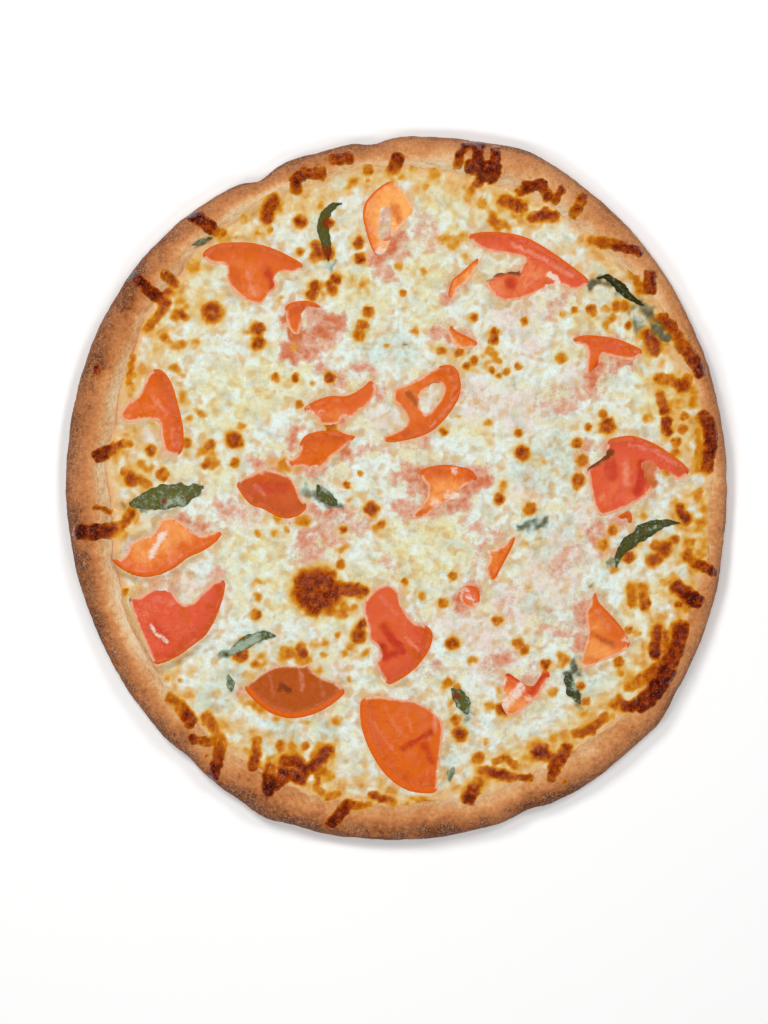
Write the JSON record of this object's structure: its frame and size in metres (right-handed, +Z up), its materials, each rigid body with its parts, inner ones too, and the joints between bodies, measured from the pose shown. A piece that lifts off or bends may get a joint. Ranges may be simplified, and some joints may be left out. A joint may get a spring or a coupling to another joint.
{
  "type": "margherita pizza",
  "caption": "Whole round margherita pizza: puffy baked crust rim, melted cheese browned in spots, tomato slices and wilted basil leaves set in the cheese.",
  "frame": {"origin": "middle of the flat underside, below the centre of the box round the pizza", "axes": "+Z up out of the topped side, +Y towards the top of the picture, +X towards its right"},
  "size_m": [0.3448, 0.3666, 0.0201],
  "materials": {
    "crust": "baked dough, matte and floury, tan to brown",
    "cheese": "melted cheese, oily and glossy, cream with browned spots",
    "tomato": "baked tomato flesh, wet, orange red",
    "basil": "wilted basil leaf, oily, dark green"
  },
  "bodies": {
    "root": {"tomato_slice_1": "tomato", "tomato_slice_2": "tomato", "tomato_slice_3": "tomato", "tomato_slice_4": "tomato", "tomato_slice_5": "tomato", "tomato_slice_6": "tomato", "tomato_slice_7": "tomato", "tomato_slice_8": "tomato", "tomato_slice_9": "tomato", "tomato_slice_10": "tomato", "tomato_slice_11": "tomato", "tomato_slice_12": "tomato", "tomato_slice_13": "tomato", "tomato_slice_14": "tomato", "tomato_slice_15": "tomato", "tomato_slice_16": "tomato", "tomato_slice_17": "tomato", "tomato_slice_18": "tomato", "tomato_slice_19": "tomato", "tomato_slice_20": "tomato", "tomato_slice_21": "tomato", "tomato_slice_22": "tomato", "tomato_slice_23": "tomato", "tomato_slice_24": "tomato", "basil_leaf_1": "basil", "basil_leaf_2": "basil", "basil_leaf_3": "basil", "basil_leaf_4": "basil", "basil_leaf_5": "basil", "basil_leaf_6": "basil", "basil_leaf_7": "basil", "basil_leaf_8": "basil", "basil_leaf_9": "basil", "basil_leaf_10": "basil", "basil_leaf_11": "basil", "crust": "crust", "cheese": "cheese"}
  },
  "joints": []
}
